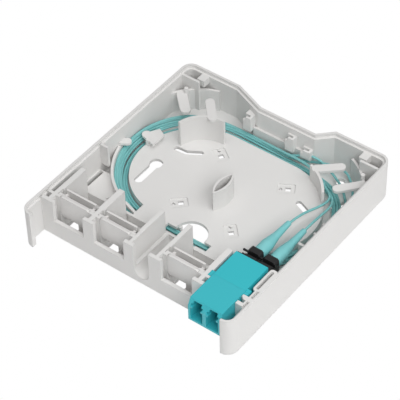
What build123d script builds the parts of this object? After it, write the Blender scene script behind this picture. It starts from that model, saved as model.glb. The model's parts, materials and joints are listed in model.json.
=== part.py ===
from build123d import *
import math
import os

os.makedirs("parts", exist_ok=True)

# Overall size, mm
WIDTH = 88.0
DEPTH = 94.0
HEIGHT = 16.0
WALL = 1.8
FLOOR = 1.4
CORNER_R = 4.0
LIP = 0.9
LIP_STEP = 1.2
RETURN_LEN = 4.2
RECESS_Y = 88.9
RECESS_PTS = [(20.7, DEPTH), (15.5, RECESS_Y), (-7.9, RECESS_Y), (-20.9, DEPTH)]

# Front panel and the four adapter bays
PANEL_Y = 8.8
PANEL_T = 1.5
SILL_Z = 7.0
BAY_W = 13.0
BAY_X = [-30.5, -13.0, 15.5, 33.0]
CABLE_SLOT_X = 0.75
CABLE_SLOT_W = 6.5
CABLE_SLOT_Z = 2.5
RIB_T = 1.1

# Duplex adapter
ADAPTER_W = BAY_W - 0.2
ADAPTER_H = 9.3
ADAPTER_Z = 7.1
ADAPTER_FRONT_Y = 1.5
ADAPTER_REAR_Y = 27.1
SEAM_Y = 14.5
FLANGE_OUT = 1.5
FLANGE_T = 2.5
FLANGE_GAP = 0.05
FLANGE_Y = 13.45
PORT_PITCH = 6.25
PORT_X = [BAY_X[3] - 0.5 * PORT_PITCH, BAY_X[3] + 0.5 * PORT_PITCH]
AXIS_Z = 10.4
PORT_W = 4.8
PORT_H = 5.0
LATCH_SLOT_W = 3.3
LATCH_SLOT_H = 2.9
ADAPTER_BEVEL = 0.8
WEB_T = 1.0
BOSS_D = 2.6
BOSS_LEN = 2.9
SLEEVE_D = 1.62
SLEEVE_BORE = 1.29
SLEEVE_LEN = 6.8
SLEEVE_SLIT = 0.3
SLEEVE_PLAY = 0.04
BOSS_LIP = 0.4
FERRULE_D = 1.25
FERRULE_BORE = 1.40

# Connector, measured along the fibre axis
HOUSING_W = 4.5
HOUSING_Y = SEAM_Y + WEB_T + 0.2
NOSE_BORE = 3.0
SEAT_Y = 20.6
SEAT_T = 0.6
HOLDER_D = 2.8
HOLDER_T = 1.7
TAIL_D = 1.3
TAIL_LEN = 4.1
BODY_Y = 27.6
COLLAR_Y = 31.0
BOOT_Y = 34.5
BOOT_END_Y = 52.4
BOOT_BASE_D = 4.6
BOOT_TIP_D = 2.0
NECK_D = 2.4
NECK_LEN = 4.5
NECK_PLAY = 0.03
SPRING_D = 2.3
SPRING_WIRE = 0.3
SPRING_PITCH = 1.1
FIBRE_D = 0.9
FIBRE_PLAY = 0.025
FIBRE_Y = 28.2

# Fibre coil: a two-ended race track round the deck
TRACK_XL = -13.5
TRACK_XR = 12.5
TRACK_Y = 57.3
TRACK_R = 26.0
COIL_W = 4.6
COIL_LOW_TOP = 3.5
COIL_TOP = 6.0
COIL_LOW_Y = 37.0
ISLAND_R = TRACK_R - 0.5 * COIL_W - 0.3
GUIDE_R = TRACK_R + 0.5 * COIL_W + 0.3

# Deck
DECK_Z = 5.0
DECK_T = 1.2
SKIRT_T = 1.2
DECK_FRONT_Y = 28.8
THIN = 1.0

BASE = Plane(origin=(0, -0.5 * DEPTH, 0))
IN_X = 0.5 * WIDTH - WALL
HALF_BAY = 0.5 * BAY_W


def box(x0, x1, y0, y1, z0, z1, mode=Mode.ADD):
    """Add or cut a block given by its limits."""
    with BuildSketch(BASE.offset(z0)) as profile:
        with Locations((0.5 * (x0 + x1), 0.5 * (y0 + y1))):
            Rectangle(x1 - x0, y1 - y0)
    extrude(profile.sketch, amount=z1 - z0, mode=mode)


def plate(points, z0, z1, mode=Mode.ADD):
    """Add or cut a plate with a closed outline."""
    with BuildSketch(BASE.offset(z0)) as profile:
        with BuildLine():
            Polyline(*points, close=True)
        make_face()
    extrude(profile.sketch, amount=z1 - z0, mode=mode)


def strip(points, width, z0, z1, mode=Mode.ADD):
    """Add or cut a round-ended strip that follows a run of points."""
    with BuildSketch(BASE.offset(z0)) as profile:
        for start, end in zip(points[:-1], points[1:]):
            middle = (0.5 * (start[0] + end[0]), 0.5 * (start[1] + end[1]))
            length = math.dist(start, end)
            turn = math.degrees(math.atan2(end[1] - start[1], end[0] - start[0]))
            with Locations(middle):
                SlotCenterToCenter(length, width, rotation=turn)
    extrude(profile.sketch, amount=z1 - z0, mode=mode)


def ring_arc(centre, r_in, r_out, start, sweep, z0, z1, mode=Mode.ADD):
    """Add or cut part of a round wall."""
    def at(radius, angle):
        turn = math.radians(angle)
        return (centre[0] + radius * math.cos(turn), centre[1] + radius * math.sin(turn))

    end = start + sweep
    mid = start + 0.5 * sweep
    with BuildSketch(BASE.offset(z0)) as profile:
        with BuildLine():
            ThreePointArc(at(r_out, start), at(r_out, mid), at(r_out, end))
            Line(at(r_out, end), at(r_in, end))
            ThreePointArc(at(r_in, end), at(r_in, mid), at(r_in, start))
            Line(at(r_in, start), at(r_out, start))
        make_face()
    extrude(profile.sketch, amount=z1 - z0, mode=mode)


def track(radius, z0, z1, mode=Mode.ADD):
    """Add or cut a two-ended race track block of the given end radius."""
    with BuildSketch(BASE.offset(z0)) as profile:
        with Locations((0.5 * (TRACK_XL + TRACK_XR), TRACK_Y)):
            SlotCenterToCenter(TRACK_XR - TRACK_XL, 2 * radius)
    extrude(profile.sketch, amount=z1 - z0, mode=mode)


def disc(x, y, radius, z0, z1, mode=Mode.ADD):
    """Add or cut an upright round block."""
    with BuildSketch(BASE.offset(z0)) as profile:
        with Locations((x, y)):
            Circle(radius)
    extrude(profile.sketch, amount=z1 - z0, mode=mode)


def along(x, y0, y1, diameter, mode=Mode.ADD):
    """Add or cut a round bar on a fibre axis, from y0 to y1."""
    with BuildSketch(Plane.XZ.offset(0.5 * DEPTH - y0)) as profile:
        with Locations((x, AXIS_Z)):
            Circle(0.5 * diameter)
    extrude(profile.sketch, amount=-(y1 - y0), mode=mode)


# Tray: one moulding
with BuildPart() as tray:
    for z_low, inset, mode in [
        (0.0, 0.0, Mode.ADD),
        (FLOOR, WALL, Mode.SUBTRACT),
        (HEIGHT - LIP_STEP, LIP, Mode.SUBTRACT),
    ]:
        with BuildSketch(BASE.offset(z_low)):
            with BuildLine():
                Polyline(
                    (-0.5 * WIDTH, 0),
                    (0.5 * WIDTH, 0),
                    (0.5 * WIDTH, DEPTH),
                    *RECESS_PTS,
                    (-0.5 * WIDTH, DEPTH),
                    close=True,
                )
            outline = make_face()
            fillet(
                [v for v in outline.vertices() if abs(v.X) > 0.5 * WIDTH - 0.1],
                radius=CORNER_R,
            )
            if inset:
                offset(amount=-inset, kind=Kind.INTERSECTION, mode=Mode.REPLACE)
        extrude(amount=HEIGHT - z_low, mode=mode)
    # Open front between the two side wall returns
    box(-IN_X, IN_X, WALL, PANEL_Y, 0, HEIGHT, Mode.SUBTRACT)
    box(RETURN_LEN - 0.5 * WIDTH, 0.5 * WIDTH - RETURN_LEN, 0, WALL, 0, HEIGHT, Mode.SUBTRACT)
    # Front panel with sills under the bays and a round-bottomed cable trough
    box(-IN_X, IN_X, PANEL_Y, PANEL_Y + PANEL_T, 0, HEIGHT)
    box(-3.9, 6.4, PANEL_Y + PANEL_T, DECK_FRONT_Y, 0, CABLE_SLOT_Z + 0.5 * CABLE_SLOT_W)
    for x in BAY_X:
        box(x - HALF_BAY, x + HALF_BAY, PANEL_Y, PANEL_Y + PANEL_T, SILL_Z, HEIGHT, Mode.SUBTRACT)
    with BuildSketch(Plane.XZ.offset(0.5 * DEPTH - PANEL_Y)):
        with BuildLine():
            r = 0.5 * CABLE_SLOT_W
            Polyline(
                (CABLE_SLOT_X - r, CABLE_SLOT_Z + r),
                (CABLE_SLOT_X - r, HEIGHT + 1),
                (CABLE_SLOT_X + r, HEIGHT + 1),
                (CABLE_SLOT_X + r, CABLE_SLOT_Z + r),
            )
            ThreePointArc(
                (CABLE_SLOT_X + r, CABLE_SLOT_Z + r),
                (CABLE_SLOT_X, CABLE_SLOT_Z),
                (CABLE_SLOT_X - r, CABLE_SLOT_Z + r),
            )
        make_face()
    extrude(amount=-(DECK_FRONT_Y - THIN - PANEL_Y), mode=Mode.SUBTRACT)
    # Fibre channel walls, deck island and its open underside
    track(ISLAND_R, 0, DECK_Z)
    track(ISLAND_R - SKIRT_T, 0, DECK_Z - DECK_T, Mode.SUBTRACT)
    # Deck strip over the front run of fibre, and the wall in front of it
    plate(
        [
            (-18.8, DECK_FRONT_Y),
            (20.0, DECK_FRONT_Y),
            (23.5, 37.0),
            (12.5, 41.0),
            (-12.5, 41.0),
            (-21.0, 37.3),
            (-18.8, 34.5),
        ],
        DECK_Z - DECK_T,
        DECK_Z,
    )
    plate([(-18.8, 30.5), (-24.6, 32.4), (-24.9, 31.4), (-18.8, 29.4)], DECK_Z - DECK_T, DECK_Z)
    box(-24.4, 24.4, DECK_FRONT_Y - THIN, DECK_FRONT_Y, 0, DECK_Z)
    box(-6.5, 12.0, DECK_FRONT_Y + 0.6, 32.6, DECK_Z - DECK_T, DECK_Z, Mode.SUBTRACT)
    # Outer guide of the channel and the raised corner behind the first bay
    plate(
        [(-IN_X, 29.0), (-31.0, 29.0), (-29.5, 32.6), (-36.0, 39.5), (-IN_X, 39.5)],
        DECK_Z - DECK_T,
        DECK_Z,
    )
    box(-41.5, -40.0, 30.5, 39.0, DECK_Z - DECK_T, DECK_Z, Mode.SUBTRACT)
    box(-IN_X, -30.0, DECK_FRONT_Y - THIN, DECK_FRONT_Y + 0.3, 0, DECK_Z)
    ring_arc((TRACK_XL, TRACK_Y), GUIDE_R, GUIDE_R + THIN, 190, 58, FLOOR, 8.0)
    box(-IN_X, -38.8, 40.4, 41.5, 7.0, HEIGHT)
    # Openings in the deck: keyhole, cable hole, tie slots and snap windows
    disc(-27.8, 53.2, 2.4, DECK_Z - DECK_T, DECK_Z, Mode.SUBTRACT)
    strip([(-27.8, 53.2), (-27.8, 43.4)], 3.2, DECK_Z - DECK_T, DECK_Z, Mode.SUBTRACT)
    disc(3.0, 33.0, 6.0, DECK_Z - DECK_T, DECK_Z, Mode.SUBTRACT)
    box(-2.2, 8.2, TRACK_Y - TRACK_R + 0.5 * COIL_W + 0.1, 36.0, 0, DECK_Z - DECK_T, Mode.SUBTRACT)
    strip([(-26.6, 63.6), (-22.6, 63.9), (-18.2, 66.6)], 2.0, DECK_Z - DECK_T, DECK_Z, Mode.SUBTRACT)
    strip([(28.0, 64.9), (24.2, 66.5)], 2.2, DECK_Z - DECK_T, DECK_Z, Mode.SUBTRACT)
    for x, y, turn in [(-12.1, 70.2, -35), (16.6, 69.8, 30), (-9.4, 42.6, 45), (13.2, 42.0, -45)]:
        spot = Location((x, y, 0), (0, 0, turn))
        # A seat 0.4 mm deep for a splice holder, with a window and a notch through it
        with BuildSketch(BASE.offset(DECK_Z - 0.4)):
            with Locations(spot):
                RectangleRounded(6.2, 4.6, 0.6)
        extrude(amount=0.4, mode=Mode.SUBTRACT)
        with BuildSketch(BASE.offset(DECK_Z - DECK_T)):
            with Locations(spot * Location((0.6, 0, 0))):
                Rectangle(1.9, 1.9)
            with Locations(spot * Location((-2.0, 0, 0))):
                Triangle(a=1.5, b=1.5, c=1.5)
        extrude(amount=DECK_T, mode=Mode.SUBTRACT)
    # Hollow lens-shaped boss in the middle of the deck
    for half_x, half_y, z_low, mode in [
        (2.3, 6.1, DECK_Z - DECK_T, Mode.ADD),
        (1.4, 5.2, DECK_Z - DECK_T, Mode.SUBTRACT),
    ]:
        with BuildSketch(BASE.offset(z_low)):
            with BuildLine():
                ThreePointArc((2.4, 52.4 - half_y), (2.4 + half_x, 52.4), (2.4, 52.4 + half_y))
                ThreePointArc((2.4, 52.4 + half_y), (2.4 - half_x, 52.4), (2.4, 52.4 - half_y))
            make_face()
        extrude(amount=13.4 - z_low, mode=mode)
    # Curved fibre guides with hold-down tabs
    ring_arc((-15.0, 63.5), 11.4, 12.4, 86, 84, DECK_Z - DECK_T, HEIGHT)
    strip([(-18.9, 74.6), (-24.5, 80.7)], 3.4, HEIGHT - THIN, HEIGHT)
    ring_arc((TRACK_XR, TRACK_Y), ISLAND_R - THIN, ISLAND_R, 33, 36, 0, 12.0)
    strip([(23.3, 78.3), (29.6, 83.9)], 3.4, 10.9, 12.0)
    ring_arc((-22.2, 70.0), 22.5, 23.5, 106, 48, FLOOR, 10.5)
    strip([(-38.9, 82.7), (-33.0, 77.2)], 3.8, 9.4, 10.5)
    ring_arc((20.5, 69.0), 23.2, 24.2, 35, 32, FLOOR, 10.5)
    strip([(39.6, 82.4), (33.7, 75.6)], 3.3, 9.4, 10.5)
    # Short tabs on the side walls
    strip([(-IN_X, 51.8), (-40.4, 53.0)], 3.0, 8.2, 9.2)
    plate([(-33.0, 58.0), (-36.4, 59.0), (-38.0, 62.8), (-36.0, 66.0), (-32.7, 64.4)], 6.6, 7.6)
    strip([(-35.6, 60.6), (-38.2, 61.1)], 3.4, 6.6, 7.6)
    ring_arc((TRACK_XL, TRACK_Y), ISLAND_R - 1.6, ISLAND_R - 0.2, 163, 14, DECK_Z - 0.5 * DECK_T, 7.6)
    for y, reach in [(45.4, 3.8), (52.2, 2.4), (57.4, 2.4)]:
        with BuildSketch(Plane.XZ.offset(0.5 * DEPTH - y)):
            with Locations((IN_X - 0.5 * reach + 0.2, 9.1)):
                peg = Rectangle(reach + 0.4, 4.6)
            inner_top = peg.vertices().sort_by(Axis.Z)[2:].sort_by(Axis.X)[0]
            fillet(inner_top, radius=min(1.9, 0.6 * reach))
        extrude(amount=-THIN)
    # Corner clips, partitions and pins at the back
    for side in (-1, 1):
        box(*sorted((side * IN_X, side * 34.8)), 87.4, 88.4, FLOOR, HEIGHT - LIP_STEP)
        box(*sorted((side * 36.6, side * 33.4)), 89.0, DEPTH - WALL, 12.0, HEIGHT - LIP_STEP)
        disc(side * 38.2, 84.6, 0.8, FLOOR, 12.5)
    for x, width, top, root_y in [
        (-11.2, 3.4, 12.5, RECESS_Y + 0.3),
        (7.2, 3.6, 12.5, RECESS_Y - WALL),
        (14.0, 4.0, 10.0, RECESS_Y - WALL),
    ]:
        hook_y = RECESS_Y - WALL - 2.6
        box(x - 0.5 * width, x + 0.5 * width, hook_y, root_y, COIL_TOP + 0.4, top)
        box(x - 0.5 * width, x + 0.5 * width - 1.0, hook_y + 0.9, hook_y + 1.8, 7.6, top, Mode.SUBTRACT)
        box(x - 0.5 * width, x - 0.5 * width + 1.2, hook_y, hook_y + 0.9, top - 1.4, top, Mode.SUBTRACT)
    box(-9.5, 15.4, RECESS_Y - WALL - THIN, RECESS_Y - WALL, FLOOR, 7.6)
    # Bay dividers: front rib, web and rear fin for each side of a flange slot
    rib_y = FLANGE_Y - FLANGE_GAP - RIB_T
    fin_y = FLANGE_Y + FLANGE_T + FLANGE_GAP
    for web_a, web_b, fin_a, fin_b, rib_a, rib_b, end_y in [
        (-40.0, -38.5, -40.0, -38.0, -IN_X, -37.0, 28.0),
        (-22.5, -21.0, -22.9, -20.6, -24.0, -19.5, 27.5),
        (-5.0, -3.8, -5.4, -3.8, -6.5, -3.8, 28.0),
        (6.3, 7.5, 6.3, 7.9, 6.3, 9.0, 28.0),
        (23.5, 25.0, 23.2, 25.4, 22.0, 26.5, 27.0),
        (41.6, IN_X, 41.6, IN_X, 39.5, IN_X, 27.5),
    ]:
        box(web_a, web_b, PANEL_Y + PANEL_T, end_y, 0, HEIGHT)
        box(fin_a, fin_b, fin_y, end_y, 0, HEIGHT)
        box(rib_a, rib_b, rib_y, rib_y + RIB_T, 0, HEIGHT)
    # Spring arm beside the adapter and the small post in front of it
    arm_x = BAY_X[3] + HALF_BAY + 0.9
    with BuildSketch(BASE):
        with Locations((0.5 * (arm_x + IN_X) + 0.5, 22.2)):
            RectangleRounded(IN_X - arm_x + 1.0, 11.0, 1.1)
    extrude(amount=HEIGHT)
    with BuildSketch(BASE.offset(6.0)):
        with Locations((0.5 * (arm_x + IN_X) + 0.4, 22.2)):
            RectangleRounded(IN_X - arm_x - 0.8, 9.0, 0.4)
    extrude(amount=HEIGHT - 6.0, mode=Mode.SUBTRACT)
    post_y = rib_y + RIB_T - 0.9
    strip([(40.9, post_y), (IN_X + 0.4, post_y)], 1.8, 0, HEIGHT)
    # Floor windows under the bays
    for x in BAY_X:
        for side in (-1, 1):
            box(x + side * 3.3 - 2.3, x + side * 3.3 + 2.3, 13.6, 19.2, 0, FLOOR, Mode.SUBTRACT)
    disc(-0.3, 12.5, 0.9, 0, FLOOR, Mode.SUBTRACT)
    # Small openings in the floor at the right rear corner
    for x, y, radius in [(28.0, 86.7, 1.7), (32.4, 75.4, 1.5), (35.6, 78.0, 1.5)]:
        disc(x, y, radius, 0, FLOOR, Mode.SUBTRACT)
tray.part.label = "tray"
export_step(tray.part, "parts/tray.step")

# Blanking inserts in the three unused bays
BLANK_TOP = 16.3
BLANK_T = 0.9
for number, x in enumerate(BAY_X[:3], start=1):
    with BuildPart() as blank:
        half = 0.5 * ADAPTER_W
        plate_y = rib_y + 0.1
        with BuildSketch(Plane.XZ.offset(0.5 * DEPTH - plate_y)):
            with Locations((x, 0.5 * (SILL_Z + 0.15 + BLANK_TOP))):
                front = Rectangle(ADAPTER_W, BLANK_TOP - SILL_Z - 0.15)
            fillet(front.vertices().group_by(Axis.Z)[0], radius=1.2)
        extrude(amount=-BLANK_T)
        box(x - half, x + half, 16.1, 16.9, 9.6, BLANK_TOP)
        box(x - half, x + half, plate_y + 1.3, plate_y + 1.8, 11.0, BLANK_TOP - 0.5)
        # Tongue behind the sill, with a keyhole-shaped window
        box(x + 1.2, x + 4.8, plate_y, plate_y + BLANK_T, 3.0, SILL_Z + 1.0)
        box(x + 2.6, x + 3.4, plate_y, plate_y + BLANK_T, 4.0, 6.2, Mode.SUBTRACT)
        for side in (-1, 1):
            edge = x + side * half
            tip = x + side * (half + FLANGE_OUT - 0.1)
            box(*sorted((edge - side * 1.0, tip)), FLANGE_Y, FLANGE_Y + 1.1, 9.6, BLANK_TOP - 0.6)
            box(*sorted((edge - side * 1.0, edge)), plate_y, 16.5, 9.6, 14.6)
    blank.part.label = f"bay_blank_{number}"
    export_step(blank.part, f"parts/bay_blank_{number}.step")

# Adapter halves, meeting at the seam
for name, y_open, sign in [("adapter_front", ADAPTER_FRONT_Y, -1), ("adapter_rear", ADAPTER_REAR_Y, 1)]:
    x_mid = BAY_X[3]
    y_low, y_high = sorted((y_open, SEAM_Y))
    flange_low, flange_high = sorted((SEAM_Y, FLANGE_Y if sign < 0 else FLANGE_Y + FLANGE_T))
    inner_y = SEAM_Y + sign * WEB_T
    with BuildPart() as half_shell:
        box(
            x_mid - 0.5 * ADAPTER_W,
            x_mid + 0.5 * ADAPTER_W,
            y_low,
            y_high,
            ADAPTER_Z,
            ADAPTER_Z + ADAPTER_H,
        )
        upright = half_shell.edges().filter_by(Axis.Z).group_by(Axis.Y)[0 if sign < 0 else -1]
        chamfer(upright, length=ADAPTER_BEVEL)
        reach = 0.5 * ADAPTER_W + FLANGE_OUT
        box(x_mid - reach, x_mid + reach, flange_low, flange_high, ADAPTER_Z + 0.6, ADAPTER_Z + ADAPTER_H)
        for x in PORT_X:
            y0, y1 = sorted((y_open, inner_y))
            box(
                x - 0.5 * PORT_W,
                x + 0.5 * PORT_W,
                y0,
                y1,
                AXIS_Z - 0.5 * PORT_H,
                AXIS_Z + 0.5 * PORT_H,
                Mode.SUBTRACT,
            )
            box(
                x - 0.5 * LATCH_SLOT_W,
                x + 0.5 * LATCH_SLOT_W,
                y0,
                y1,
                AXIS_Z + 0.5 * PORT_H,
                AXIS_Z + 0.5 * PORT_H + LATCH_SLOT_H,
                Mode.SUBTRACT,
            )
            boss_end = inner_y + sign * BOSS_LEN
            boss_low, boss_high = sorted((inner_y, boss_end))
            along(x, boss_low, boss_high, BOSS_D)
            lip_y = boss_end - sign * BOSS_LIP
            bore_low, bore_high = sorted((SEAM_Y, lip_y))
            along(x, bore_low, bore_high, SLEEVE_D + 2 * SLEEVE_PLAY, Mode.SUBTRACT)
            lip_low, lip_high = sorted((lip_y, boss_end))
            along(x, lip_low, lip_high, FERRULE_BORE, Mode.SUBTRACT)
    half_shell.part.label = name
    export_step(half_shell.part, f"parts/{name}.step")

# Parts on each of the two fibre axes
for tag, x, bar in zip(("a", "b"), PORT_X, (2.8, 1.5)):
    holder_y = SEAT_Y + SEAT_T
    spring_y = holder_y + HOLDER_T

    with BuildPart() as sleeve:
        along(x, SEAM_Y - 0.5 * SLEEVE_LEN, SEAM_Y + 0.5 * SLEEVE_LEN, SLEEVE_D)
        along(x, SEAM_Y - 0.5 * SLEEVE_LEN, SEAM_Y + 0.5 * SLEEVE_LEN, SLEEVE_BORE, Mode.SUBTRACT)
        box(
            x - 0.5 * SLEEVE_SLIT,
            x + 0.5 * SLEEVE_SLIT,
            SEAM_Y - 0.5 * SLEEVE_LEN,
            SEAM_Y + 0.5 * SLEEVE_LEN,
            AXIS_Z,
            AXIS_Z + SLEEVE_D,
            Mode.SUBTRACT,
        )
    sleeve.part.label = f"split_sleeve_{tag}"
    export_step(sleeve.part, f"parts/split_sleeve_{tag}.step")

    with BuildPart() as housing:
        box(
            x - 0.5 * HOUSING_W,
            x + 0.5 * HOUSING_W,
            HOUSING_Y,
            COLLAR_Y,
            AXIS_Z - 0.5 * HOUSING_W,
            AXIS_Z + 0.5 * HOUSING_W,
        )
        # Latch arm, rising to the rear, with a cross piece at its tip
        with BuildSketch(Plane.YZ.offset(x - 1.3)):
            with BuildLine():
                top = AXIS_Z + 0.5 * HOUSING_W
                y_shift = -0.5 * DEPTH
                Polyline(
                    (17.6 + y_shift, top),
                    (20.0 + y_shift, top + 1.0),
                    (27.5 + y_shift, top + 2.3),
                    (28.9 + y_shift, top + 2.3),
                    (28.9 + y_shift, top + 1.5),
                    (27.3 + y_shift, top + 1.4),
                    (20.6 + y_shift, top),
                    close=True,
                )
            make_face()
        extrude(amount=2.6)
        box(x - 2.1, x + 2.1, 27.6, 28.9, top + 1.5, top + 2.3)
        # Side bar that ties the pair together
        box(x - 0.5 * HOUSING_W - bar, x, 29.4, 30.4, AXIS_Z + 0.9, AXIS_Z + 1.9)
        along(x, HOUSING_Y, SEAT_Y, NOSE_BORE, Mode.SUBTRACT)
        along(x, SEAT_Y, holder_y, FERRULE_BORE, Mode.SUBTRACT)
        along(x, holder_y, COLLAR_Y, NOSE_BORE, Mode.SUBTRACT)
    housing.part.label = f"connector_housing_{tag}"
    export_step(housing.part, f"parts/connector_housing_{tag}.step")

    with BuildPart() as ferrule:
        along(x, SEAM_Y + 0.05, spring_y - 0.3, FERRULE_D)
        chamfer(ferrule.edges().group_by(Axis.Y)[0], length=0.15)
    ferrule.part.label = f"ferrule_{tag}"
    export_step(ferrule.part, f"parts/ferrule_{tag}.step")

    with BuildPart() as holder:
        along(x, holder_y, spring_y, HOLDER_D)
        along(x, spring_y, spring_y + TAIL_LEN, TAIL_D)
        along(x, holder_y, spring_y - 0.3, FERRULE_D, Mode.SUBTRACT)
        along(x, spring_y - 0.3, spring_y + TAIL_LEN, 0.4, Mode.SUBTRACT)
    holder.part.label = f"ferrule_holder_{tag}"
    export_step(holder.part, f"parts/ferrule_holder_{tag}.step")

    with BuildPart() as spring:
        coil_len = BODY_Y - spring_y - SPRING_WIRE
        start_y = spring_y + 0.5 * SPRING_WIRE - 0.5 * DEPTH
        with BuildLine() as wire:
            Helix(
                pitch=SPRING_PITCH,
                height=coil_len,
                radius=0.5 * SPRING_D,
                center=(x, start_y, AXIS_Z),
                direction=(0, 1, 0),
            )
        with BuildSketch(Plane(origin=wire.line @ 0, z_dir=wire.line % 0)):
            RegularPolygon(0.5 * SPRING_WIRE, 6)
        sweep(path=wire.line, is_frenet=True)
    spring.part.label = f"ferrule_spring_{tag}"
    export_step(spring.part, f"parts/ferrule_spring_{tag}.step")

    with BuildPart() as body:
        along(x, BODY_Y, COLLAR_Y, NOSE_BORE - 0.04)
        box(
            x - 0.5 * HOUSING_W,
            x + 0.5 * HOUSING_W,
            COLLAR_Y,
            BOOT_Y,
            AXIS_Z - 0.5 * HOUSING_W,
            AXIS_Z + 0.5 * HOUSING_W,
        )
        corners = body.edges().filter_by(Axis.Y).filter_by(GeomType.LINE)
        chamfer(corners.group_by(Axis.Z)[-1], length=0.9)
        along(x, BOOT_Y, BOOT_Y + NECK_LEN, NECK_D)
        along(x, BODY_Y, COLLAR_Y, TAIL_D + 0.15, Mode.SUBTRACT)
        along(x, COLLAR_Y, BOOT_Y + NECK_LEN, FIBRE_D + 2 * FIBRE_PLAY, Mode.SUBTRACT)
    body.part.label = f"rear_body_{tag}"
    export_step(body.part, f"parts/rear_body_{tag}.step")

    with BuildPart() as boot:
        y_mid = -0.5 * DEPTH
        with BuildSketch(Plane.XY.offset(AXIS_Z)):
            with BuildLine():
                Polyline(
                    (x, BOOT_Y + y_mid),
                    (x + 0.5 * BOOT_BASE_D, BOOT_Y + y_mid),
                    (x + 0.5 * BOOT_BASE_D, BOOT_Y + 5.4 + y_mid),
                    (x + 0.5 * BOOT_TIP_D + 0.4, BOOT_Y + 10.6 + y_mid),
                    (x + 0.5 * BOOT_TIP_D, BOOT_END_Y + y_mid),
                    (x, BOOT_END_Y + y_mid),
                    close=True,
                )
            make_face()
        revolve(axis=Axis((x, 0, AXIS_Z), (0, 1, 0)), revolution_arc=360)
        along(x, BOOT_Y, BOOT_Y + NECK_LEN + 0.1, NECK_D + 2 * NECK_PLAY, Mode.SUBTRACT)
        along(x, BOOT_Y + NECK_LEN, BOOT_END_Y, FIBRE_D + 2 * FIBRE_PLAY, Mode.SUBTRACT)
    boot.part.label = f"boot_{tag}"
    export_step(boot.part, f"parts/boot_{tag}.step")

# Coil of fibre lying in the channel, low under the deck and fuller in the open
with BuildPart() as coil:
    track(TRACK_R + 0.5 * COIL_W, FLOOR, COIL_TOP)
    track(TRACK_R - 0.5 * COIL_W, FLOOR, COIL_TOP, Mode.SUBTRACT)
    box(-IN_X, IN_X, 0, COIL_LOW_Y, COIL_LOW_TOP, COIL_TOP, Mode.SUBTRACT)
coil.part.label = "fibre_coil"
export_step(coil.part, "parts/fibre_coil.step")

# Pigtail leads from the connectors to the coil
ROUTES = [
    [
        (PORT_X[0], FIBRE_Y, AXIS_Z),
        (PORT_X[0], BOOT_END_Y + 4.0, AXIS_Z),
        (33.9, 67.2, 9.2),
        (32.7, 74.0, 6.2),
    ],
    [
        (PORT_X[1], FIBRE_Y, AXIS_Z),
        (PORT_X[1], BOOT_END_Y + 5.6, AXIS_Z),
        (36.3, 67.0, 9.0),
        (34.0, 73.6, 6.2),
    ],
]
for tag, route in zip(("a", "b"), ROUTES):
    points = [Vector(px, py - 0.5 * DEPTH, pz) for px, py, pz in route]
    radii = []
    for before, here, after in zip(points[:-2], points[1:-1], points[2:]):
        half_turn = math.radians(0.5 * (here - before).get_angle(after - here))
        shorter = min((here - before).length, (after - here).length)
        radii.append(min(0.45 * shorter / math.tan(half_turn), 12.0))
    print(f"pigtail_{tag} radii", [round(value, 1) for value in radii])
    with BuildPart() as lead:
        with BuildLine() as way:
            FilletPolyline(*points, radius=radii)
        with BuildSketch(Plane(origin=way.line @ 0, z_dir=way.line % 0)):
            Circle(0.5 * FIBRE_D)
        sweep(path=way.line)
    section = math.pi * (0.5 * FIBRE_D) ** 2
    print(f"pigtail_{tag} volume ratio", round(lead.part.volume / (section * way.wires()[0].length), 4))
    with lead:
        box(0, IN_X, TRACK_Y, DEPTH, 0, COIL_TOP, Mode.SUBTRACT)
    lead.part.label = f"pigtail_{tag}"
    export_step(lead.part, f"parts/pigtail_{tag}.step")
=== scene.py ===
import json
import math

import bmesh
import bpy
from mathutils import Matrix, Vector


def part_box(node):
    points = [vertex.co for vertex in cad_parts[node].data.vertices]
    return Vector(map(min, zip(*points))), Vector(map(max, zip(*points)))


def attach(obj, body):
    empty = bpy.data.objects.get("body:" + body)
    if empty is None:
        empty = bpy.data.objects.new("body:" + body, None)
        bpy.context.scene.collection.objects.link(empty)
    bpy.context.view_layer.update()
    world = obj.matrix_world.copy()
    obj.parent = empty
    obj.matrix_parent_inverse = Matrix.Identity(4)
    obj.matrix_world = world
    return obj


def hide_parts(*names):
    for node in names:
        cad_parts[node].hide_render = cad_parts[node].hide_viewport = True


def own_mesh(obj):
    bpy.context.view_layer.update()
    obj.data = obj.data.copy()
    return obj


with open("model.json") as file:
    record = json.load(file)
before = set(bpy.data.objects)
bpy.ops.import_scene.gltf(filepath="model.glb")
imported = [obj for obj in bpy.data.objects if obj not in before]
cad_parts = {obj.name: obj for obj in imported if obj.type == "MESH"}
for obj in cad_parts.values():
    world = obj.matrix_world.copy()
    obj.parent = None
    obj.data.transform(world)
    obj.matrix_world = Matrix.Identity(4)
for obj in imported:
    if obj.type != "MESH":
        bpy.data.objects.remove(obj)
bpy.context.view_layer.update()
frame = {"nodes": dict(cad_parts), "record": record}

MM = 0.001
HALF_DEPTH = 47.0


def place(x, y, z):
    """A point given in millimetres, with y counted from the front edge, in the row frame."""
    return Vector((x * MM, (y - HALF_DEPTH) * MM, z * MM))


def link_object(name, data):
    """A new object in the scene, made from a mesh, curve, lamp or camera."""
    obj = bpy.data.objects.new(name, data)
    bpy.context.scene.collection.objects.link(obj)
    return obj


# Materials
PLASTIC_IOR = 1.5
GRAIN_HEIGHT = 0.00006
ROUGHNESS_SPREAD = 0.06

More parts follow.
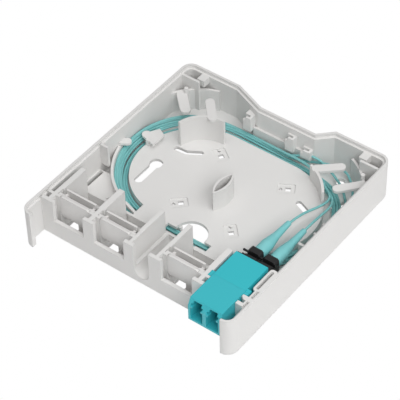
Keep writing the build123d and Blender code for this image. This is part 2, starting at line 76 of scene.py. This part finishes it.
# Each plastic: darker tone, lighter tone, roughness, grain, grain depth, edge radius, tone scale if unusual
PLASTICS = {
    "tray_plastic": ((0.775, 0.765, 0.752), (0.805, 0.797, 0.784), 0.48, 5200, 0.30, 0.00028),
    "blank_plastic": ((0.78, 0.765, 0.752), (0.81, 0.797, 0.784), 0.44, 5200, 0.25, 0.00020),
    "adapter_front_plastic": ((0.040, 0.49, 0.56), (0.048, 0.52, 0.59), 0.36, 4200, 0.2, 0.00018),
    "adapter_rear_plastic": ((0.032, 0.50, 0.57), (0.040, 0.53, 0.60), 0.36, 4200, 0.2, 0.00018),
    "connector_plastic": ((0.012, 0.012, 0.013), (0.020, 0.020, 0.021), 0.38, 4000, 0.2, 0.00016),
    "boot_rubber": ((0.20, 0.575, 0.59), (0.24, 0.62, 0.635), 0.52, 3500, 0.25, 0.0),
    "fibre_jacket": ((0.16, 0.47, 0.47), (0.26, 0.60, 0.60), 0.40, 2600, 0.2, 0.0, 130.0),
    "zirconia": ((0.84, 0.84, 0.81), (0.88, 0.88, 0.85), 0.18, 6000, 0.05, 0.0),
}

# Each metal: darker tone, lighter tone, roughness
METALS = {
    "holder_metal": ((0.55, 0.55, 0.56), (0.66, 0.66, 0.67), 0.32),
    "spring_steel": ((0.46, 0.46, 0.48), (0.58, 0.58, 0.60), 0.25),
}


def material(name):
    mat = bpy.data.materials.new(name)
    mat.use_nodes = True
    tree = mat.node_tree
    bsdf = tree.nodes["Principled BSDF"]
    return mat, tree, bsdf


def add(tree, kind, **values):
    """A new node with its settings; a name with no setting on the node is one of its inputs."""
    node = tree.nodes.new(kind)
    for key, value in values.items():
        if hasattr(node, key):
            setattr(node, key, value)
        else:
            node.inputs[key.replace("_", " ")].default_value = value
    return node


def plastic(name, low, high, rough, grain, depth, edge, tone_scale=55.0):
    """Moulded plastic: two close tones, fine grain in the bump, and rounded edges in the normals."""
    mat, tree, bsdf = material(name)
    link = tree.links.new
    where = add(tree, "ShaderNodeTexCoord")
    cloud = add(tree, "ShaderNodeTexNoise", Scale=tone_scale, Detail=3.0, Roughness=0.55)
    link(where.outputs["Object"], cloud.inputs["Vector"])
    tone = add(tree, "ShaderNodeMixRGB")
    tone.inputs[1].default_value = (*low, 1)
    tone.inputs[2].default_value = (*high, 1)
    link(cloud.outputs["Fac"], tone.inputs[0])
    link(tone.outputs[0], bsdf.inputs["Base Color"])
    fine = add(tree, "ShaderNodeTexNoise", Scale=grain, Detail=2.0, Roughness=0.6)
    link(where.outputs["Object"], fine.inputs["Vector"])
    spread = add(tree, "ShaderNodeMapRange")
    spread.inputs[1].default_value = 0.3
    spread.inputs[2].default_value = 0.7
    spread.inputs[3].default_value = rough - ROUGHNESS_SPREAD
    spread.inputs[4].default_value = rough + ROUGHNESS_SPREAD
    link(fine.outputs["Fac"], spread.inputs[0])
    link(spread.outputs[0], bsdf.inputs["Roughness"])
    bump = add(tree, "ShaderNodeBump", Strength=depth, Distance=GRAIN_HEIGHT)
    link(fine.outputs["Fac"], bump.inputs["Height"])
    if edge:
        round_off = add(tree, "ShaderNodeBevel", samples=4)
        round_off.inputs["Radius"].default_value = edge
        link(round_off.outputs[0], bump.inputs["Normal"])
    link(bump.outputs[0], bsdf.inputs["Normal"])
    bsdf.inputs["IOR"].default_value = PLASTIC_IOR
    return mat


def metal(name, low, high, rough):
    """Turned or drawn metal with fine marks across the row's Y axis."""
    mat, tree, bsdf = material(name)
    link = tree.links.new
    where = add(tree, "ShaderNodeTexCoord")
    stretch = add(tree, "ShaderNodeMapping")
    stretch.inputs["Scale"].default_value = (1, 22, 1)
    link(where.outputs["Object"], stretch.inputs["Vector"])
    marks = add(tree, "ShaderNodeTexNoise", Scale=900.0, Detail=3.0)
    link(stretch.outputs[0], marks.inputs["Vector"])
    tone = add(tree, "ShaderNodeMixRGB")
    tone.inputs[1].default_value = (*low, 1)
    tone.inputs[2].default_value = (*high, 1)
    link(marks.outputs["Fac"], tone.inputs[0])
    link(tone.outputs[0], bsdf.inputs["Base Color"])
    bsdf.inputs["Metallic"].default_value = 1.0
    bsdf.inputs["Roughness"].default_value = rough
    bump = add(tree, "ShaderNodeBump", Strength=0.15, Distance=0.00003)
    link(marks.outputs["Fac"], bump.inputs["Height"])
    link(bump.outputs[0], bsdf.inputs["Normal"])
    return mat


MATS = {name: plastic(name, *values) for name, values in PLASTICS.items()}
MATS.update({name: metal(name, *values) for name, values in METALS.items()})
SLOTS = {part["node"]: part["material_slot"] for part in frame["record"]["subparts"]}

for node, slot in SLOTS.items():
    obj = frame["nodes"][node]
    obj.data.materials.clear()
    obj.data.materials.append(MATS[slot])

# Fibre: the tray's race track, which the coil follows
TRACK_XL = -13.5
TRACK_XR = 12.5
TRACK_Y = 57.3
TRACK_R = 26.0
STRAIGHT = TRACK_XR - TRACK_XL
QUARTER = 0.5 * math.pi * TRACK_R
TURN = 2 * STRAIGHT + 4 * QUARTER

# Fibre: the coil's strands, whose rank runs from 0 (inner, low) to 8 (outer, high)
FIBRE_D = 0.9
BED_Z = 1.88
TOP_RANK = 8
RANK_GAP = 0.45
LAYER = 0.82
GROUP_RANK = 3
GROUP_GAP = 0.65
SHIFT_FROM = 168.0
SHIFT_TO = 190.0
STEPS_PER_TURN = 48

# Fibre: how the strands rise with their rank and group, and how the loose ones wander
RANK_RISE = 0.82
GROUP_RISE = 0.18
LAYER_LOSS = 0.18
LOOSE_PER_LIFT = 0.4
WANDER_OUT = 0.14
WANDER_UP = 0.22
TURN_PHASE = 1.9
LEAD_B_PHASE = 2.4
UP_PHASE = 2.1

# Millimetres along the track from the right-hand side, and how far the outer strands stand up there
LIFT = [
    (0, 1.4), (20, 1.2), (41, 2.0), (67, 2.4), (88, 4.9),
    (112, 4.9), (130, 2.8), (146, 0), (180, 0), (200, 1.0), (TURN, 1.4),
]
# The same places along the track, and how far the whole bundle swings out there
SWING = [
    (0, 0.3), (5, 1.2), (13, 3.0), (24, 2.8), (36, 0.3), (50, 0), (200, 0), (TURN, 0.3),
]
# Two turns that stray from the bundle in the right rear corner: place, further out, further up
STRAY = {
    ("a", 1): [
        (8, 0, 0), (16, 1.0, 0), (22, 1.4, 0), (27, 2.2, 0.1), (30, 2.7, 0.5),
        (33, 3.6, 1.8), (37, 2.2, 4.8), (42, -0.3, 2.4), (50, 0, 0),
    ],
    ("b", 1): [
        (2, 0, 0), (12, 2.6, 0), (18, 3.9, 0), (24, 5.7, 0.2), (28.5, 8.2, 0.4),
        (32, 7.0, 1.2), (36, 3.6, 1.0), (41, 0.6, 0), (48, 0, 0),
    ],
}

# Fibre: the leads from the connectors down to the coil
PORT_X = (29.875, 36.125)
AXIS_Z = 10.4
FIBRE_Y = 28.2
COIL_START = 25.0
COIL_LENGTH = 940.0
LEAD_INWARD = -1.2
LEAD_BLEND = 42.0
LEADS = {
    "a": [
        (PORT_X[0], FIBRE_Y, AXIS_Z),
        (PORT_X[0], 40.0, AXIS_Z),
        (PORT_X[0], 56.4, AXIS_Z),
        (33.9, 67.2, 9.2),
        (32.7, 74.0, 6.9),
    ],
    "b": [
        (PORT_X[1], FIBRE_Y, AXIS_Z),
        (PORT_X[1], 40.0, AXIS_Z),
        (PORT_X[1], 58.0, AXIS_Z),
        (36.3, 67.0, 9.0),
        (34.0, 73.6, 6.7),
    ],
}
STANDS_FOR = {"a": ["pigtail_a", "fibre_coil"], "b": ["pigtail_b"]}


def on_track(s, out):
    """Plan position at length s along the track, out millimetres outside its middle line."""
    s = s % TURN
    r = TRACK_R + out
    if s < QUARTER:
        a = s / TRACK_R
        return TRACK_XR + r * math.cos(a), TRACK_Y + r * math.sin(a)
    s -= QUARTER
    if s < STRAIGHT:
        return TRACK_XR - s, TRACK_Y + r
    s -= STRAIGHT
    if s < 2 * QUARTER:
        a = 0.5 * math.pi + s / TRACK_R
        return TRACK_XL + r * math.cos(a), TRACK_Y + r * math.sin(a)
    s -= 2 * QUARTER
    if s < STRAIGHT:
        return TRACK_XL + s, TRACK_Y - r
    s -= STRAIGHT
    a = 1.5 * math.pi + s / TRACK_R
    return TRACK_XR + r * math.cos(a), TRACK_Y + r * math.sin(a)


def ease(value):
    """A smooth step from 0 to 1."""
    value = min(1.0, max(0.0, value))
    return value * value * (3 - 2 * value)


def level(table, s, column=1):
    """Value of a table at length s, eased between its rows."""
    for before, after in zip(table[:-1], table[1:]):
        if before[0] <= s < after[0]:
            part = ease((s - before[0]) / (after[0] - before[0]))
            return before[column] + (after[column] - before[column]) * part
    return None


def strand(tag, s):
    """The line of the coil for lead tag at length s: two ranks inwards on each turn."""
    turn = int(s // TURN)
    here = s - turn * TURN
    moved = turn + ease((here - SHIFT_FROM) / (SHIFT_TO - SHIFT_FROM))
    first = TOP_RANK if tag == "a" else TOP_RANK - 1
    rank = max(first - 2 * moved, 0.0)
    lift = level(LIFT, here)
    group = ease(rank - GROUP_RANK)
    out = RANK_GAP * (rank - 0.5 * TOP_RANK) + GROUP_GAP * (group - 0.5)
    out += level(SWING, here)
    above = LAYER * (first % 2) * (1 - LAYER_LOSS * lift)
    z = BED_Z + above + lift * (RANK_RISE * rank / TOP_RANK + GROUP_RISE * group)
    loose = min(1.0, LOOSE_PER_LIFT * lift)
    phase = TURN_PHASE * turn + (0.0 if tag == "a" else LEAD_B_PHASE)
    out += WANDER_OUT * loose * math.sin(4 * math.pi * s / TURN + phase)
    z += WANDER_UP * loose * math.sin(6 * math.pi * s / TURN + UP_PHASE * phase)
    stray = STRAY.get((tag, turn))
    if stray and stray[0][0] <= here < stray[-1][0]:
        out += level(stray, here, 1)
        z += level(stray, here, 2)
    x, y = on_track(s, out)
    return x, y, max(z, BED_Z)


def pigtail(tag):
    """One pigtail as a single spline: its lead points, then its turns, let down from their height."""
    points = [place(*point) for point in LEADS[tag]]
    drop = LEADS[tag][-1][2] - strand(tag, COIL_START)[2]
    s = COIL_START
    while s < COIL_START + COIL_LENGTH:
        x, y, z = strand(tag, s)
        left = 1 - ease((s - COIL_START) / LEAD_BLEND)
        near_x, near_y = on_track(s, LEAD_INWARD)
        points.append(place(x + (near_x - x) * left, y + (near_y - y) * left, z + drop * left))
        s += TURN / STEPS_PER_TURN
    data = bpy.data.curves.new(f"pigtail_line_{tag}", "CURVE")
    data.dimensions = "3D"
    line = data.splines.new("NURBS")
    line.points.add(len(points) - 1)
    for point, where in zip(line.points, points):
        point.co = (*where, 1)
    line.order_u = 3
    line.use_endpoint_u = True
    line.resolution_u = 4
    data.bevel_depth = 0.5 * FIBRE_D * MM
    data.bevel_resolution = 5
    data.use_fill_caps = True
    data.materials.append(MATS["fibre_jacket"])
    obj = link_object(f"pigtail_line_{tag}", data)
    return obj


for tag, x in zip("ab", PORT_X):
    obj = pigtail(tag)
    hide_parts(*STANDS_FOR[tag])
    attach(obj, "tray_body")

# Moulded pieces with their cut-outs, made in millimetres and joined or cut as closed meshes
CUT = "DIFFERENCE"
JOIN = "UNION"
OVER = 0.5
SHARP_ANGLE = math.radians(30)
ROD_SIDES = 40


def prism(outline, low, high, along="x"):
    """A closed mesh: an outline of (y, z) points pulled along x, or of (x, z) points along y."""
    bm = bmesh.new()
    ends = []
    for depth in (low, high):
        if along == "x":
            ends.append([bm.verts.new((depth, u, v)) for u, v in outline])
        else:
            ends.append([bm.verts.new((u, depth, v)) for u, v in outline])
    for end in ends:
        bm.faces.new(end)
    for here in range(len(outline)):
        after = (here + 1) % len(outline)
        bm.faces.new((ends[0][here], ends[0][after], ends[1][after], ends[1][here]))
    bmesh.ops.recalc_face_normals(bm, faces=bm.faces)
    mesh = bpy.data.meshes.new("solid")
    bm.to_mesh(mesh)
    bm.free()
    return link_object("solid", mesh)


def block(x, y, z):
    """A closed box mesh between three pairs of limits."""
    return prism([(y[0], z[0]), (y[1], z[0]), (y[1], z[1]), (y[0], z[1])], *x)


def rod(x, y_low, y_high, diameter):
    """A closed round mesh along y, on the fibre axis at x."""
    angles = [2 * math.pi * step / ROD_SIDES for step in range(ROD_SIDES)]
    half = 0.5 * diameter
    ring = [(x + half * math.cos(angle), AXIS_Z + half * math.sin(angle)) for angle in angles]
    return prism(ring, y_low, y_high, "y")


def centred(middle, width):
    """The two limits of a width about its middle."""
    return middle - 0.5 * width, middle + 0.5 * width


def stand_in(name, node, mesh):
    """A piece in place of a CAD node, on the tray's body and with the node's finish."""
    slot = SLOTS[node]
    mesh.materials.clear()
    mesh.materials.append(MATS[slot])
    piece = link_object(name, mesh)
    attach(piece, "tray_body")
    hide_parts(node)
    return piece


def moulded(name, node, base, changes):
    """A piece in place of a node: the base with each change's solid joined to it or cut from it."""
    for how, solid in changes:
        change = base.modifiers.new(how, "BOOLEAN")
        change.operation = how
        change.solver = "EXACT"
        change.object = solid
    bpy.context.view_layer.update()
    whole = base.evaluated_get(bpy.context.evaluated_depsgraph_get())
    mesh = bpy.data.meshes.new_from_object(whole)
    for solid in [base] + [solid for _, solid in changes]:
        bpy.data.objects.remove(solid)
    mesh.transform(Matrix.Scale(MM, 4) @ Matrix.Translation((0, -HALF_DEPTH, 0)))
    mesh.shade_smooth()
    mesh.set_sharp_from_angle(angle=SHARP_ANGLE)
    stand_in(name, node, mesh)


# Adapter halves: the front one has a sloping top edge, which the latch slots run out through
adapter_low, adapter_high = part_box("adapter_front")
SIDE_LOW = adapter_low[0] / MM
SIDE_HIGH = adapter_high[0] / MM
ADAPTER_LOW = adapter_low[2] / MM
ADAPTER_TOP = adapter_high[2] / MM
REAR_FACE_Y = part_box("adapter_rear")[1][1] / MM + HALF_DEPTH
SEAM_Y = 14.5
WEB_T = 1.0
FRONT_FACE_Y = 0.8
FRONT_EDGE_Y = 2.3
FRONT_EDGE_Z = 13.7
FRONT_FLANGE_T = 1.05
REAR_FLANGE_T = 1.45
FLANGE_OUT = 1.5
FLANGE_DROP = 0.3
FLANGE_LIFT = 0.6
PORT_W = 4.8
PORT_H = 5.0
SLOT_W = 3.3
SLOT_H = 2.9
WING_W = 4.6
WING_Z = (13.55, 14.75)
BOSS_D = 2.6
BOSS_LEN = 2.9
BOSS_LIP = 0.4
SLEEVE_SPACE = 1.7
FERRULE_SPACE = 1.4


def adapter_half(node, outline, sign, open_face, flange_t):
    """One half: an outline in (y, z), its flange at the seam, and its two ports with their bosses."""
    shell = prism(outline, SIDE_LOW + FLANGE_OUT, SIDE_HIGH - FLANGE_OUT)
    flange_y = sorted((SEAM_Y, SEAM_Y + sign * flange_t))
    flange_z = (ADAPTER_LOW + FLANGE_LIFT, ADAPTER_TOP - FLANGE_DROP)
    changes = [(JOIN, block((SIDE_LOW, SIDE_HIGH), flange_y, flange_z))]
    web_y = SEAM_Y + sign * WEB_T
    boss_y = web_y + sign * BOSS_LEN
    lip_y = boss_y - sign * BOSS_LIP
    hole_y = sorted((open_face + sign * OVER, web_y))
    slot_z = (AXIS_Z + 0.5 * PORT_H - OVER, AXIS_Z + 0.5 * PORT_H + SLOT_H)
    for x in PORT_X:
        changes += [
            (CUT, block(centred(x, PORT_W), hole_y, centred(AXIS_Z, PORT_H))),
            (CUT, block(centred(x, SLOT_W), hole_y, slot_z)),
            (CUT, block(centred(x, WING_W), hole_y, WING_Z)),
            (JOIN, rod(x, *sorted((web_y - sign * OVER, boss_y)), BOSS_D)),
            (CUT, rod(x, *sorted((SEAM_Y - sign * OVER, lip_y)), SLEEVE_SPACE)),
            (CUT, rod(x, *sorted((lip_y - sign * OVER, boss_y + sign * OVER)), FERRULE_SPACE)),
        ]
    moulded(f"{node}_shell", node, shell, changes)


FRONT_OUTLINE = [
    (SEAM_Y, ADAPTER_LOW),
    (SEAM_Y, ADAPTER_TOP),
    (FRONT_EDGE_Y, ADAPTER_TOP),
    (FRONT_FACE_Y, FRONT_EDGE_Z),
    (FRONT_FACE_Y, ADAPTER_LOW),
]
REAR_OUTLINE = [
    (SEAM_Y, ADAPTER_LOW),
    (SEAM_Y, ADAPTER_TOP),
    (REAR_FACE_Y, ADAPTER_TOP),
    (REAR_FACE_Y, ADAPTER_LOW),
]
adapter_half("adapter_front", FRONT_OUTLINE, -1, FRONT_FACE_Y, FRONT_FLANGE_T)
adapter_half("adapter_rear", REAR_OUTLINE, 1, REAR_FACE_Y, REAR_FLANGE_T)

# Rear bodies of the connectors, with the bars that tie the pair
BODY_Y = 31.0
BODY_STEP_Y = 32.0
BODY_END_Y = 34.5
BODY_W = 4.9
BODY_LOW = AXIS_Z - 2.25
BODY_STEP_Z = AXIS_Z + 1.0
BODY_TOP = AXIS_Z + 3.0
BODY_EDGE = 0.6
COLLAR_Y = 27.6
COLLAR_D = 2.96
NECK_Y = 39.0
NECK_D = 2.4
TAIL_SPACE = 1.45
FIBRE_SPACE = 0.95
BAR_Y = (32.15, 32.75)
BAR_Z = (11.75, 12.35)
BAR_ROOT = 1.2
BAR_REACH = {"a": 1.9, "b": 1.3}


def rear_body(tag, x):
    """A stepped block on the fibre axis at x, with its bar, collar, neck and the fibre's passage."""
    left, right = centred(x, BODY_W)
    section = [
        (left, BODY_LOW),
        (right, BODY_LOW),
        (right, BODY_TOP - BODY_EDGE),
        (right - BODY_EDGE, BODY_TOP),
        (left + BODY_EDGE, BODY_TOP),
        (left, BODY_TOP - BODY_EDGE),
    ]
    step_x = (left - OVER, right + OVER)
    step_y = (BODY_Y - OVER, BODY_STEP_Y)
    step_z = (BODY_STEP_Z, BODY_TOP + OVER)
    bar_x = (left - BAR_REACH[tag], x - BAR_ROOT)
    body = prism(section, BODY_Y, BODY_END_Y, "y")
    changes = [
        (CUT, block(step_x, step_y, step_z)),
        (JOIN, block(bar_x, BAR_Y, BAR_Z)),
        (JOIN, rod(x, COLLAR_Y, BODY_Y + OVER, COLLAR_D)),
        (JOIN, rod(x, BODY_END_Y - OVER, NECK_Y, NECK_D)),
        (CUT, rod(x, COLLAR_Y - OVER, BODY_Y, TAIL_SPACE)),
        (CUT, rod(x, BODY_Y - OVER, NECK_Y + OVER, FIBRE_SPACE)),
    ]
    moulded(f"rear_body_{tag}_shell", f"rear_body_{tag}", body, changes)


for tag, x in zip("ab", PORT_X):
    rear_body(tag, x)

# Springs behind the ferrules: round wire with closed ends, as long as the node's plain spring
SPRING_D = 2.3
WIRE_D = 0.3
CLOSED_TURNS = 1.0
OPEN_TURNS = 4.0
CLOSED_PITCH = 0.32
STEPS_PER_COIL = 24
WIRE_SIDES = 8


def spring(tag, x):
    """A compression spring on the fibre axis at x, in place of the node's plain one."""
    node = f"ferrule_spring_{tag}"
    low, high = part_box(node)
    length = (high.y - low.y) / MM
    rise = length - WIRE_D - 2 * CLOSED_TURNS * CLOSED_PITCH
    turns = 2 * CLOSED_TURNS + OPEN_TURNS
    steps = round(turns * STEPS_PER_COIL)
    bm = bmesh.new()
    rings = []
    for step in range(steps + 1):
        turn = turns * step / steps
        closed = min(turn, CLOSED_TURNS) + max(turn - CLOSED_TURNS - OPEN_TURNS, 0)
        opened = min(max(turn - CLOSED_TURNS, 0), OPEN_TURNS)
        y = low.y / MM + 0.5 * WIRE_D + closed * CLOSED_PITCH + opened * rise / OPEN_TURNS
        angle = 2 * math.pi * turn
        ring = []
        for side in range(WIRE_SIDES):
            round_wire = 2 * math.pi * side / WIRE_SIDES
            radius = 0.5 * (SPRING_D - WIRE_D) + 0.5 * WIRE_D * math.cos(round_wire)
            ring.append(bm.verts.new((
                (x + radius * math.cos(angle)) * MM,
                (y + 0.5 * WIRE_D * math.sin(round_wire)) * MM,
                (AXIS_Z + radius * math.sin(angle)) * MM,
            )))
        rings.append(ring)
    for before, after in zip(rings[:-1], rings[1:]):
        for side in range(WIRE_SIDES):
            next_side = (side + 1) % WIRE_SIDES
            bm.faces.new((before[side], before[next_side], after[next_side], after[side]))
    bm.faces.new(rings[0])
    bm.faces.new(rings[-1])
    bmesh.ops.recalc_face_normals(bm, faces=bm.faces)
    mesh = bpy.data.meshes.new(f"spring_wire_{tag}")
    bm.to_mesh(mesh)
    bm.free()
    mesh.shade_smooth()
    piece = stand_in(f"spring_wire_{tag}", node, mesh)
    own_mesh(piece)


for tag, x in zip("ab", PORT_X):
    spring(tag, x)

# Floor: white to the camera and in reflections, and grey to the light that it throws back
FLOOR_SIZE = 6.0
FLOOR_Z = -0.00002

bpy.ops.mesh.primitive_plane_add(size=FLOOR_SIZE, location=(0, 0, FLOOR_Z))
floor = bpy.context.object
floor.name = "studio_floor"
mat, tree, bsdf = material("studio_floor")
bsdf.inputs["Base Color"].default_value = (0.86, 0.86, 0.86, 1)
bsdf.inputs["Roughness"].default_value = 0.9
glow = add(tree, "ShaderNodeEmission", Color=(1, 1, 1, 1), Strength=1.0)
path = add(tree, "ShaderNodeLightPath")
shown = path.outputs["Is Camera Ray"]
for ray in ("Is Glossy Ray", "Is Transmission Ray"):
    either = add(tree, "ShaderNodeMath", operation="MAXIMUM")
    tree.links.new(shown, either.inputs[0])
    tree.links.new(path.outputs[ray], either.inputs[1])
    shown = either.outputs[0]
mix = add(tree, "ShaderNodeMixShader")
tree.links.new(shown, mix.inputs[0])
tree.links.new(bsdf.outputs[0], mix.inputs[1])
tree.links.new(glow.outputs[0], mix.inputs[2])
tree.links.new(mix.outputs[0], tree.nodes["Material Output"].inputs["Surface"])
floor.data.materials.append(mat)

# Lights: an even white world and three square lamps that point at the tray
WORLD_STRENGTH = 0.30
LOOK_AT = (0, 0, 0.005)

# Each lamp: place in metres, side in metres, power in watts
LAMPS = {
    "key": ((0.40, -0.30, 0.46), 0.34, 1.8),
    "side": ((0.45, 0.05, 0.46), 0.34, 0.8),
    "top": ((0.0, 0.0, 0.65), 0.40, 1.0),
}

world = bpy.data.worlds.new("studio")
bpy.context.scene.world = world
world.use_nodes = True
sky = world.node_tree.nodes["Background"]
sky.inputs["Color"].default_value = (1, 1, 1, 1)
sky.inputs["Strength"].default_value = WORLD_STRENGTH

for name, (at, side, power) in LAMPS.items():
    data = bpy.data.lights.new(name, "AREA")
    data.shape = "RECTANGLE"
    data.size = side
    data.size_y = side
    data.energy = power
    lamp = link_object(name, data)
    lamp.location = at
    lamp.rotation_euler = (Vector(LOOK_AT) - Vector(at)).to_track_quat("-Z", "Y").to_euler()

# Camera at the photograph's place, from a fit to the tray's straight edges
AZIMUTH = math.radians(38.295)
ELEVATION = math.radians(45.039)
ROLL = math.radians(-1.651)
DISTANCE = 604.475
CENTRE_RIGHT = -26.233
CENTRE_UP = -31.928
FOCAL_PX = 1822.553
PHOTO_PX = 400.0
SENSOR_MM = 36.0
CLIP_START = 0.01

back = Vector((
    math.sin(AZIMUTH) * math.cos(ELEVATION),
    -math.cos(AZIMUTH) * math.cos(ELEVATION),
    math.sin(ELEVATION),
))
forward = -back
right = forward.cross(Vector((0, 0, 1))).normalized()
up = right.cross(forward)
right_rolled = math.cos(ROLL) * right + math.sin(ROLL) * up
up_rolled = -math.sin(ROLL) * right + math.cos(ROLL) * up
eye = -CENTRE_RIGHT * right - CENTRE_UP * up - DISTANCE * forward
camera_data = bpy.data.cameras.new("photo_camera")
camera_data.sensor_width = SENSOR_MM
camera_data.sensor_fit = "HORIZONTAL"
camera_data.lens = FOCAL_PX * SENSOR_MM / PHOTO_PX
camera_data.clip_start = CLIP_START
camera = link_object("photo_camera", camera_data)
camera_axes = Matrix((right_rolled, up_rolled, -forward)).transposed().to_4x4()
camera.matrix_world = Matrix.Translation(place(eye.x, eye.y, eye.z)) @ camera_axes
bpy.context.scene.camera = camera
bpy.context.scene.view_settings.view_transform = "Standard"

bpy.context.view_layer.update()
